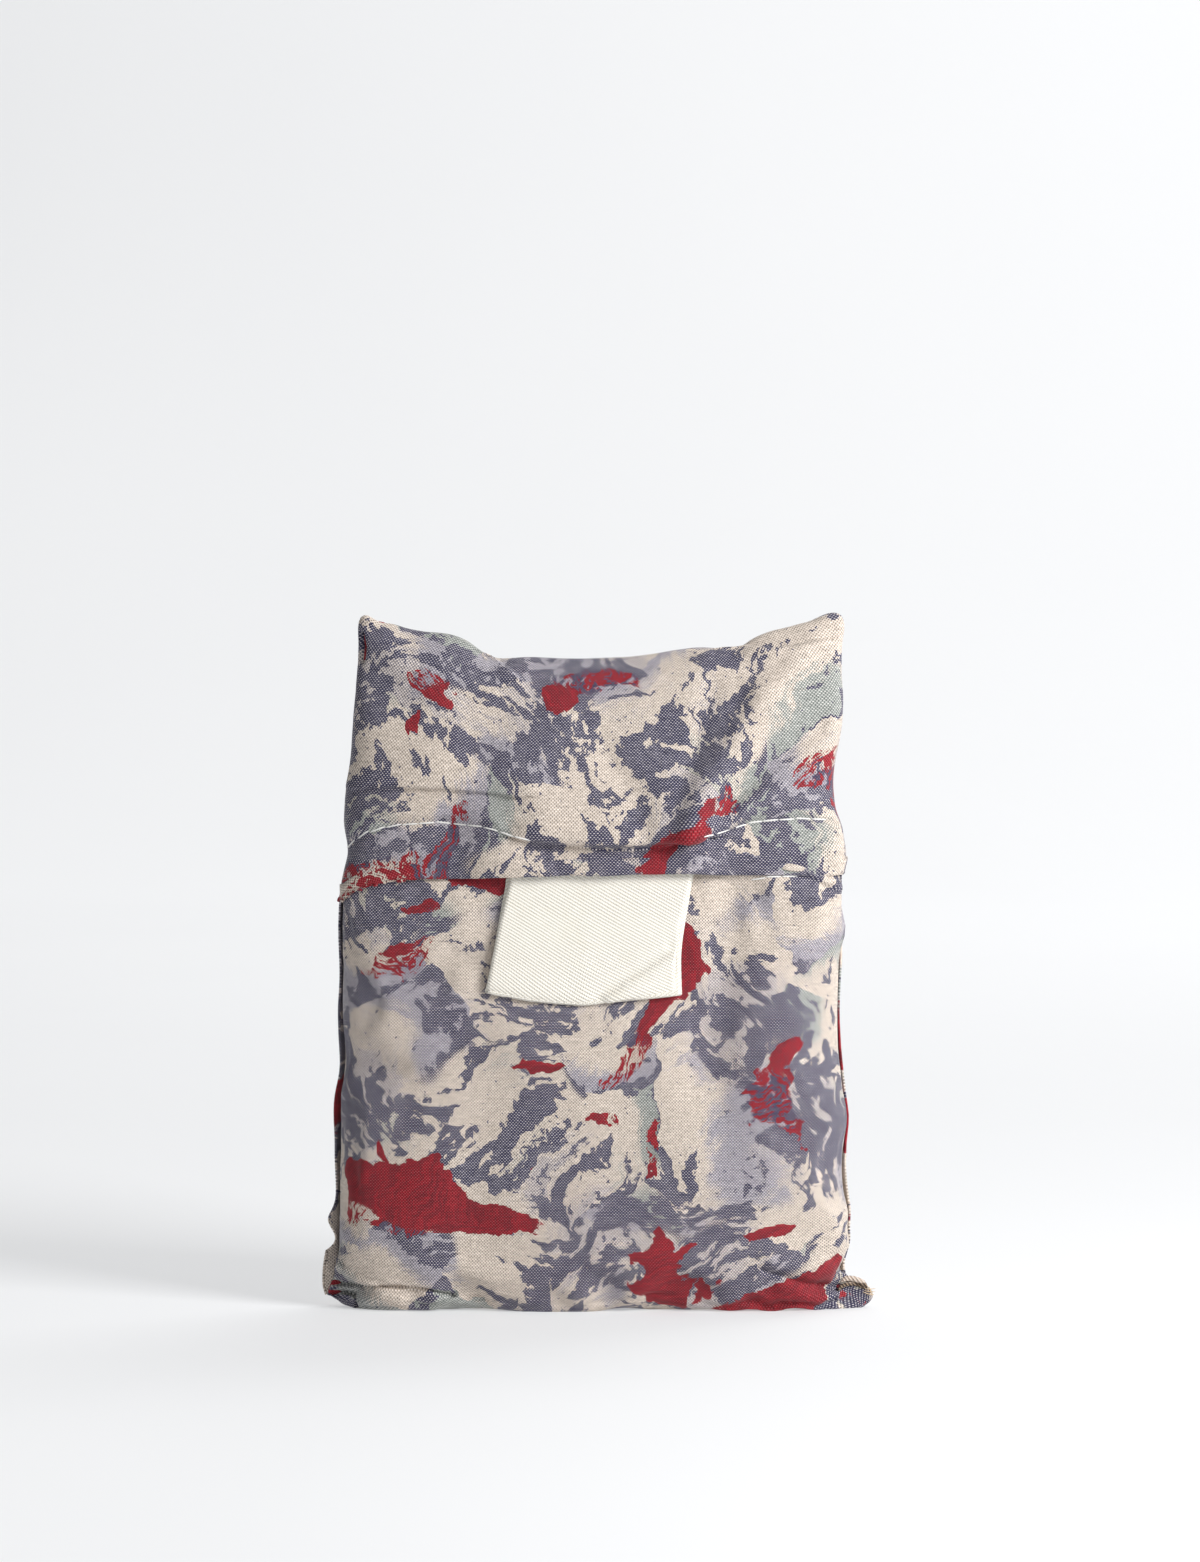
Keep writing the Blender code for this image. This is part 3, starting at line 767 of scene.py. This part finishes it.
def near_path(path, x, z, above, below):
    """1 on a line and falling away from it, by one width above it and another below."""
    best = np.full(len(x), 1e9)
    side = np.ones(len(x))
    for (x1, z1), (x2, z2) in zip(path, path[1:]):
        dx, dz = x2 - x1, z2 - z1
        t = np.clip(((x - x1) * dx + (z - z1) * dz) / (dx * dx + dz * dz), 0, 1)
        ax, az = x - x1 - t * dx, z - z1 - t * dz
        away = np.hypot(ax, az)
        nearer = away < best
        best = np.where(nearer, away, best)
        side = np.where(nearer, np.sign(dx * az - dz * ax), side)
    width = np.where(side > 0, above, below)
    return np.exp(-((best / width) ** 2))


def fold_front(piece, folds):
    """Presses a table of folds into the front of a piece."""
    rows = places(piece)
    out = facing(piece)
    x, y, z = measured(rows)
    front = np.clip(-out[:, 1] * 1.6 - 0.1, 0, 1)
    for fold in folds:
        share = near_path(fold.path, x, z, fold.above, fold.below) * front
        rows += out * (share * fold.out * MM)[:, None]
        rows[:, 2] -= share * fold.down * MM
    put(piece, rows)


def draw_out(piece, pulls):
    """Moves parts of a piece sideways or upward, fading with the distance from each place."""
    rows = places(piece)
    x, _, z = measured(rows)
    for pull in pulls:
        share = np.exp(-((x - pull.x) ** 2 + (z - pull.z) ** 2) / pull.reach**2)
        rows[:, 0] += share * pull.right * MM
        rows[:, 2] += share * pull.up * MM
    put(piece, rows)


def rumple(piece, size, height, seed, calm=None):
    """Gives a cloth a soft unevenness of its own, less of it around a calm place."""
    rows = places(piece)
    out = facing(piece)
    shift = Vector((seed, seed * 0.37, seed * 0.71))
    spots = [Vector(place) / (size * MM) + shift for place in rows]
    lift = np.array([noise.fractal(spot, 1.0, 2.0, 3) for spot in spots], float)
    if calm:
        x, _, z = measured(rows)
        lift *= 1 - np.exp(-(((x - calm.x) / CALM.x) ** 4) - ((z - calm.z) / CALM.z) ** 4)
    put(piece, rows + out * (lift * height * MM)[:, None])


def above_floor(piece):
    rows = places(piece)
    rows[:, 2] = np.maximum(rows[:, 2], 0.0)
    put(piece, rows)


def swell(piece):
    """Fills the pocket: a short cloth simulation with its seams held, its movement capped."""
    start = places(piece)
    x, y, z = measured(start)
    seams = (np.abs(y) < SEAM_DEPTH) | (z < SEAM_LOW) | (z > SEAM_HIGH) | (y > 0)
    behind = (np.abs(x - LABEL_MIDDLE.x) < UNDER_LABEL.x) & (z > UNDER_LABEL.z)
    group = piece.vertex_groups.new(name="Held")
    group.add(np.nonzero(seams | behind)[0].tolist(), 1.0, "REPLACE")
    cloth = piece.modifiers.new("Filling", "CLOTH")
    how = cloth.settings
    how.quality, how.mass, how.vertex_group_mass, how.pin_stiffness = 6, 0.15, "Held", 1.0
    how.tension_stiffness = how.compression_stiffness = 12.0
    how.shear_stiffness, how.bending_stiffness = 4.0, 0.4
    how.use_pressure = True
    how.uniform_pressure_force = 4.0
    how.shrink_min = -0.03
    how.effector_weights.gravity = 0.0
    cloth.point_cache.frame_start, cloth.point_cache.frame_end = 1, SWELL_STEPS
    for step in range(SWELL_STEPS):
        bpy.context.scene.frame_set(step + 1)
    apply_all(piece)
    bpy.context.scene.frame_set(1)
    piece.vertex_groups.clear()
    move = places(piece) - start
    length = np.linalg.norm(move, axis=1)
    keep = np.minimum(1.0, SWELL_MOST * MM / np.maximum(length, 1e-9))
    put(piece, start + move * keep[:, None])


def finish_piece(piece, material, nodes=()):
    piece.data.materials.clear()
    piece.data.materials.append(material)
    piece.data.shade_smooth()
    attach(piece, "root")
    if nodes:
        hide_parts(*nodes)


def drop_faces(piece, test):
    """Deletes the faces that pass a test."""
    with opened(piece) as mesh:
        bmesh.ops.delete(mesh, geom=[f for f in mesh.faces if test(f)], context="FACES")


def keep_outer_skin(piece, inside):
    """Leaves only the side of a cloth solid that faces away from what it covers."""
    solid = bmesh.new()
    solid.from_mesh(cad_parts[inside].data)
    tree = BVHTree.FromBMesh(solid)
    solid.free()

    def hidden(face):
        middle = face.calc_center_median()
        nearest, _, _, away = tree.find_nearest(middle)
        outward = (middle - nearest).dot(face.normal)
        low = middle.z < 100 * MM
        return outward < 0.45 * away or (low and face.normal.y < -0.3)

    drop_faces(piece, hidden)


def turn_under(piece, edges_at, depth, height):
    """Folds a free edge of the cloth inward and back up, as a hem."""
    with opened(piece) as mesh:
        mesh.normal_update()
        rim = [e for e in mesh.edges if e.is_boundary and edges_at(e)]
        for inward, upward in ((depth, -0.10), (0.0, height)):
            grown = bmesh.ops.extrude_edge_only(mesh, edges=rim)["geom"]
            fresh = [g for g in grown if isinstance(g, bmesh.types.BMVert)]
            for vertex in fresh:
                if inward:
                    ends = [e.other_vert(vertex) for e in vertex.link_edges]
                    outward = next(v for v in ends if v not in fresh).normal.copy()
                    outward.z = 0
                    vertex.co -= outward.normalized() * inward * MM
                vertex.co.z += upward * MM
            rim = [g for g in grown if isinstance(g, bmesh.types.BMEdge) and g.is_boundary]
            rim = [e for e in rim if e.verts[0] in fresh and e.verts[1] in fresh]


def thicken(piece, thickness):
    solid = piece.modifiers.new("Thickness", "SOLIDIFY")
    solid.thickness = thickness
    solid.offset = -1.0
    apply_all(piece)


def refine(piece, folds, cuts):
    """Cuts the front finer near its narrow folds."""
    x, y, z = measured(places(piece))
    front = facing(piece)[:, 1] < -0.1
    wanted = np.zeros(len(x), bool)
    for fold in folds:
        if min(fold.above, fold.below) < 1.0:
            share = near_path(fold.path, x, z, FINE_REACH, FINE_REACH)
            wanted |= (share > math.exp(-1)) & front
    with opened(piece) as mesh:
        faces = [f for f in mesh.faces if any(wanted[v.index] for v in f.verts)]
        edges = list({e for f in faces for e in f.edges})
        bmesh.ops.subdivide_edges(mesh, edges=edges, cuts=cuts, use_grid_fill=True, smooth=0.0)


def keep_lowest(piece):
    """Of a mesh's separate skins, keeps the one that reaches lowest."""
    with opened(piece) as mesh:
        lowest = min(mesh.verts, key=lambda v: v.co.z)
        kept = set(reached(lowest, lambda v: [end for edge in v.link_edges for end in edge.verts]))
        others = [v for v in mesh.verts if v not in kept]
        bmesh.ops.delete(mesh, geom=others, context="VERTS")


def part_strands(piece):
    """Presses the label's front strand back, shows the back one at the right, lifts the foot."""
    rows = places(piece)
    back = np.clip((rows[:, 1] / MM - STRAND_END) / STRAND_BLEND, 0, 1)
    rows[:, 1] += (1 - back) * STRAND_PRESS * MM
    fall = np.clip((LABEL_TOP - rows[:, 2] / MM) / LABEL_LENGTH, 0, 1)
    rows[:, 0] += back * (STRAND_PEEK + fall * STRAND_SLANT) * MM
    rows[:, 2] += fall * LABEL_LIFT * MM
    put(piece, rows)


def along_path(path, step):
    """Places every step along a line, with the direction there."""
    found, where = [], 0.0
    for (x1, z1), (x2, z2) in zip(path, path[1:]):
        dx, dz = x2 - x1, z2 - z1
        span = math.hypot(dx, dz)
        while where < span:
            t = where / span
            found.append((x1 + t * dx, z1 + t * dz, math.atan2(dz, dx)))
            where += step
        where -= span
    return found


def bar_along_x(sides, radius, start, length, cuts):
    """A round bar that lies along X, cut across at some places so that it can be bent."""
    only()
    bpy.ops.mesh.primitive_cylinder_add(
        vertices=sides, radius=radius, depth=length,
        location=(start + length / 2, 0, 0), rotation=(0, math.pi / 2, 0),
    )
    bar = bpy.context.active_object
    bpy.ops.object.transform_apply(location=True, rotation=True, scale=False)
    with editing():
        for cut in cuts:
            bpy.ops.mesh.select_all(action="SELECT")
            bpy.ops.mesh.bisect(plane_co=(cut, 0, 0), plane_no=(1, 0, 0), use_fill=False)
    return bar


def one_stitch():
    """One stitch, lying along X: a thread whose ends go down into the cloth."""
    half = STITCH_LENGTH / 2 * MM
    cuts = [share * half for share in STITCH_CUTS]
    stitch = bar_along_x(6, sizes().thread / 2, -half, STITCH_LENGTH * MM, cuts)
    for vertex in stitch.data.vertices:
        share = abs(vertex.co.x) / half
        thick = 1 - STITCH_THIN * share**4
        vertex.co.y = vertex.co.y * thick + STITCH_DIP * MM * share**3
        vertex.co.z *= thick
    return stitch


def skin_of(name):
    """A piece's surface, for finding places on it."""
    return BVHTree.FromObject(bpy.data.objects[name], bpy.context.evaluated_depsgraph_get())


def surface_point(tree, x, z):
    """Where a level line from the front meets a cloth."""
    start = Vector(((x - MIDDLE_X) * MM, -0.1, z * MM))
    found = tree.ray_cast(start, Vector((0, 1, 0)))
    return found[0]


def lay_along(bar, line, deep, tall, taper):
    """Bends a bar onto a line of places in millimetres, with its depth and height there."""
    line = np.array(line, float)
    steps = np.concatenate([[0], np.cumsum(np.linalg.norm(np.diff(line, axis=0), axis=1))])
    steps /= steps[-1]
    rows = places(bar)
    share = np.clip(rows[:, 0], 0, 1)

    def at(where):
        """Places at shares of the line's length, each evened out with its neighbours."""
        columns = [
            sum(np.interp(where + shift, steps, column) for shift in (-0.06, 0, 0.06)) / 3
            for column in line.T
        ]
        return np.stack(columns, 1)

    along = at(np.clip(share + 0.02, 0, 1)) - at(np.clip(share - 0.02, 0, 1))
    along /= np.linalg.norm(along, axis=1)[:, None]
    side = np.cross(along, (0.0, -1.0, 0.0))
    side /= np.linalg.norm(side, axis=1)[:, None]
    out = np.cross(side, along)
    thin = np.clip(np.minimum(share, 1 - share) / taper, 0.12, 1.0)[:, None] ** 0.5
    moved = at(share) + (side * rows[:, 2:3] * tall + out * rows[:, 1:2] * deep) * thin
    moved[:, 0] -= MIDDLE_X
    moved[:, 1] -= MIDDLE_Y
    put(bar, moved * MM)


def on_pocket(spots, proud):
    """Places on the pocket's front at these spots, a little in front of it."""
    tree = skin_of("pocket")
    found, depth = [], None
    for x, z in spots:
        point = surface_point(tree, x, z)
        if point is not None:
            depth = point.y / MM + MIDDLE_Y
        found.append((x, depth, z))
    known = next(row[1] for row in found if row[1] is not None)
    return [(x, (known if y is None else y) - proud, z) for x, y, z in found]


def joined(copies, name):
    only(*copies)
    bpy.ops.object.join()
    piece = bpy.context.active_object
    piece.name = piece.data.name = name
    return piece


def laid_bars(name, lips, segments, sides, taper):
    """One piece of bars that are bent onto the pocket's front, tapering towards their ends."""
    bars = []
    for lip in lips:
        cuts = [step / segments for step in range(1, segments)]
        bar = bar_along_x(sides, radius=1.0, start=0.0, length=1.0, cuts=cuts)
        lay_along(bar, on_pocket(lip.path, lip.proud), lip.deep, lip.tall, taper)
        bars.append(bar)
    return joined(bars, name)


def extrude(y, z):
    """Carries the selected edge on by a step."""
    bpy.ops.mesh.extrude_region_move(TRANSFORM_OT_translate={"value": (0, y, z)})


def turned_to(thing, place, aim):
    """Puts a light or a camera at a place, looking at another."""
    thing.location = place
    thing.rotation_euler = (Vector(aim) - thing.location).to_track_quat("-Z", "Y").to_euler()


# ------------------------ pieces


class BAG_OT_pocket(bpy.types.Operator):
    """Makes the filled pocket"""

    bl_idname = "bag.pocket"
    bl_label = "Filled pocket"

    def execute(self, context):
        piece = cad_copy("filled_pocket", "pocket")
        mark_cuts(piece, lambda x, y, z: abs(y) < 0.01)
        subdivide(piece)
        lay_out(piece)
        swell(piece)
        subdivide(piece)
        refine(piece, POCKET_FOLDS, cuts=3)
        rumple(piece, size=34.0, height=0.65, seed=6.0, calm=LABEL_MIDDLE)
        rumple(piece, size=15.0, height=0.25, seed=3.0, calm=LABEL_MIDDLE)
        draw_out(piece, POCKET_PULLS)
        fold_front(piece, POCKET_FOLDS)
        above_floor(piece)
        cloth = printed_cloth(
            "Printed crepe, pocket", (75.0, -150.0), slate_share=0.36, red_share=0.37
        )
        finish_piece(piece, cloth, ["filled_pocket"])
        return {"FINISHED"}


class BAG_OT_flap(bpy.types.Operator):
    """Makes the cloth that is the pouch's back and its flap"""

    bl_idname = "bag.flap"
    bl_label = "Back and flap"

    def execute(self, context):
        piece = cad_copy("back_and_flap", "flap_cloth")
        keep_outer_skin(piece, "filled_pocket")

        def at_hem(edge):
            a, b = (v.co / MM for v in edge.verts)
            level = abs(a.z - b.z) < HEM_SLOPE * (a - b).length
            return level and min(a.z, b.z) > HEM_LOW and min(a.y, b.y) < HEM_BACK

        turn_under(piece, at_hem, depth=0.75, height=4.0)
        mark_cuts(piece, lambda x, y, z: abs(x) > 55 and abs(y) < 0.5 and z > 100)
        subdivide(piece)
        lay_out(piece)
        subdivide(piece)
        refine(piece, FLAP_FOLDS, cuts=2)
        rumple(piece, size=28.0, height=0.45, seed=4.0)
        rumple(piece, size=13.0, height=0.20, seed=8.0)
        draw_out(piece, FLAP_PULLS)
        fold_front(piece, FLAP_FOLDS)
        thicken(piece, sizes().cloth)
        above_floor(piece)
        cloth = printed_cloth(
            "Printed crepe, flap", (-150.0, -60.0), slate_share=0.40, red_share=0.38, eased=1.07
        )
        finish_piece(piece, cloth, ["back_and_flap"])
        return {"FINISHED"}


class BAG_OT_label(bpy.types.Operator):
    """Makes the folded tape label"""

    bl_idname = "bag.label"
    bl_label = "Label"

    def execute(self, context):
        piece = cad_copy("label", "label_tape")
        drop_faces(piece, lambda f: abs(f.normal.x) > 0.45 or f.normal.z > 0.75)
        keep_lowest(piece)
        subdivide(piece)
        lay_out(piece)
        subdivide(piece)
        refine(piece, LABEL_FOLDS, cuts=1)
        rumple(piece, size=9.0, height=0.12, seed=5.0)
        part_strands(piece)
        fold_front(piece, LABEL_FOLDS)
        thicken(piece, sizes().tape)
        finish_piece(piece, tape_twill("Cotton tape"), ["label"])
        return {"FINISHED"}


class BAG_OT_stitching(bpy.types.Operator):
    """Sews the hem's stitching"""

    bl_idname = "bag.stitching"
    bl_label = "Stitching"

    def execute(self, context):
        pattern = one_stitch()
        copies = []
        for path, cloth in (
            (STITCH_PATH, "flap_cloth"),
            (STITCH_PATH_RIGHT, "flap_cloth"),
            (POCKET_STITCH_PATH, "pocket"),
        ):
            tree = skin_of(cloth)
            for x, z, angle in along_path(path, STITCH_LENGTH + STITCH_GAP):
                middle = surface_point(tree, x, z)
                further = surface_point(
                    tree, x + math.cos(angle) * STITCH_AHEAD, z + math.sin(angle) * STITCH_AHEAD
                )
                if middle is None or further is None or middle.y > STITCH_FRONT * MM:
                    continue
                if (further - middle).length > STITCH_JUMP * MM:
                    continue
                direction = (further - middle).normalized()
                sideways = direction.cross(Vector((0, -1, 0))).normalized()
                outward = sideways.cross(direction).normalized()
                turn = Matrix((direction, -outward, sideways)).transposed().to_4x4()
                copy = added("stitch", pattern.data.copy())
                raised = Matrix.Translation(middle + outward * STITCH_PROUD * MM)
                copy.data.transform(raised @ turn)
                copies.append(copy)
        bpy.data.objects.remove(pattern)
        thread = twisted_thread("Hem thread", colours().thread, (0.55, 0.52, 0.50))
        finish_piece(joined(copies, "hem_stitching"), thread)
        return {"FINISHED"}


class BAG_OT_corner(bpy.types.Operator):
    """Rolls the corner's raw edge and lets its threads fray"""

    bl_idname = "bag.corner"
    bl_label = "Corner roll"

    def execute(self, context):
        roll = laid_bars("corner_edge", CORNER_LIPS, segments=18, sides=10, taper=0.22)
        finish_piece(roll, ribbed_edge("Ribbed selvedge"))
        fray = laid_bars("corner_threads", CORNER_THREADS, segments=6, sides=5, taper=0.5)
        loose = twisted_thread("Loose thread", (0.72, 0.55, 0.36), (0.45, 0.30, 0.18))
        finish_piece(fray, loose)
        return {"FINISHED"}


class BAG_OT_studio(bpy.types.Operator):
    """Makes the floor, the backdrop, the lights and the camera"""

    bl_idname = "bag.studio"
    bl_label = "Studio"

    def execute(self, context):
        only()
        bpy.ops.mesh.primitive_plane_add(size=1.0)
        board = context.active_object
        board.name = board.data.name = "studio_board"
        with editing():
            bpy.ops.transform.resize(value=(BOARD_WIDE, BOARD_DEEP, 1.0))
            bpy.ops.transform.translate(value=(0, -BOARD_FORWARD, 0))
        rear = {vertex.index for vertex in board.data.vertices if vertex.co.y > 0}
        for vertex in board.data.vertices:
            vertex.select = vertex.index in rear
        for edge in board.data.edges:
            edge.select = rear.issuperset(edge.vertices)
        for face in board.data.polygons:
            face.select = False
        bpy.ops.object.mode_set(mode="EDIT")
        extrude(CREASE, 0)
        for step in range(SWEEP_STEPS):
            angle = math.radians(90 * (step + 0.5) / SWEEP_STEPS)
            extrude(math.cos(angle) * SWEEP_STRIDE, math.sin(angle) * SWEEP_STRIDE)
        extrude(0, CREASE)
        extrude(0, BOARD_TALL)
        bpy.ops.object.mode_set(mode="OBJECT")
        board.data.shade_smooth()
        board.data.materials.append(studio_white("Studio board"))

        world = bpy.data.worlds.new("Studio air")
        context.scene.world = world
        world.use_nodes = True
        air = world.node_tree.nodes["Background"]
        air.inputs["Color"].default_value = AIR_COLOUR
        air.inputs["Strength"].default_value = AIR_STRENGTH

        for lamp in LAMPS:
            light = bpy.data.lights.new(lamp.name, "AREA")
            light.shape, light.size, light.energy = "SQUARE", lamp.size, lamp.energy
            turned_to(added(lamp.name, light), lamp.place, lamp.aim)

        lens = bpy.data.cameras.new("Camera")
        camera = added("Camera", lens)
        context.scene.camera = camera
        turned_to(camera, (EYE_AIM.x, -EYE_AWAY, EYE_HEIGHT), EYE_AIM)
        lens.sensor_fit = "VERTICAL"
        lens.sensor_height = SENSOR
        lens.lens = SENSOR * (EYE_AIM - camera.location).length / SEEN_HEIGHT
        lens.sensor_width = SENSOR * VIEW_SHAPE
        context.scene.view_settings.view_transform = "Standard"
        return {"FINISHED"}


class BAG_PT_parts(bpy.types.Panel):
    """Lists the bag's pieces, sizes and colours"""

    bl_label = "Folded shopping bag"
    bl_space_type = "VIEW_3D"
    bl_region_type = "UI"
    bl_category = "Bag"

    def draw(self, context):
        for operator in OPERATORS:
            self.layout.operator(operator.bl_idname)
        for group in (context.scene.bag_sizes, context.scene.bag_colours):
            for name in group.__annotations__:
                self.layout.prop(group, name)


OPERATORS = (
    BAG_OT_pocket, BAG_OT_flap, BAG_OT_label, BAG_OT_stitching, BAG_OT_corner, BAG_OT_studio,
)
CLASSES = (BagSizes, BagColours, *OPERATORS, BAG_PT_parts)


def register():
    for item in CLASSES:
        bpy.utils.register_class(item)
    bpy.types.Scene.bag_sizes = PointerProperty(type=BagSizes)
    bpy.types.Scene.bag_colours = PointerProperty(type=BagColours)


def unregister():
    del bpy.types.Scene.bag_colours
    del bpy.types.Scene.bag_sizes
    for item in reversed(CLASSES):
        bpy.utils.unregister_class(item)


def main():
    register()
    bpy.ops.bag.pocket()
    bpy.ops.bag.flap()
    bpy.ops.bag.label()
    bpy.ops.bag.stitching()
    bpy.ops.bag.corner()
    bpy.ops.bag.studio()


if __name__ == "__main__":
    main()
